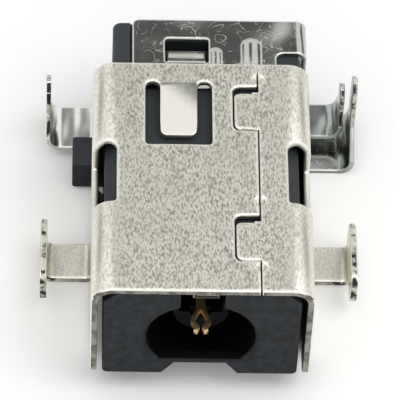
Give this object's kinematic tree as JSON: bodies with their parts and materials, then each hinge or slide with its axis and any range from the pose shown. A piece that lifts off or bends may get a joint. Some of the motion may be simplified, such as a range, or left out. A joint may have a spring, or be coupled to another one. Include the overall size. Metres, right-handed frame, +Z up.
{
  "type": "dc barrel jack",
  "caption": "Board-mount barrel power jack: black moulded housing with a round plug mouth, held in a folded nickel-plated sheet shell with bent-up legs and spring contacts.",
  "frame": {"origin": "on the plug axis, at the mouth's front face", "axes": "+Y along the plug axis into the jack, +Z up from the board, +X right seen from the front"},
  "size_m": [0.014, 0.0152, 0.0076],
  "materials": {
    "shell_plate": "satin nickel plate with a fine mottled grain",
    "housing_plastic": "matt moulded",
    "contact_plate": "bright tin plate",
    "contact_gold": "thin gold flash on the fork"
  },
  "bodies": {
    "root": {"outer_shell": "shell_plate", "housing": "housing_plastic", "upper_contact": "contact_plate", "lower_contact": "contact_plate", "centre_contact": "contact_gold"}
  },
  "joints": []
}
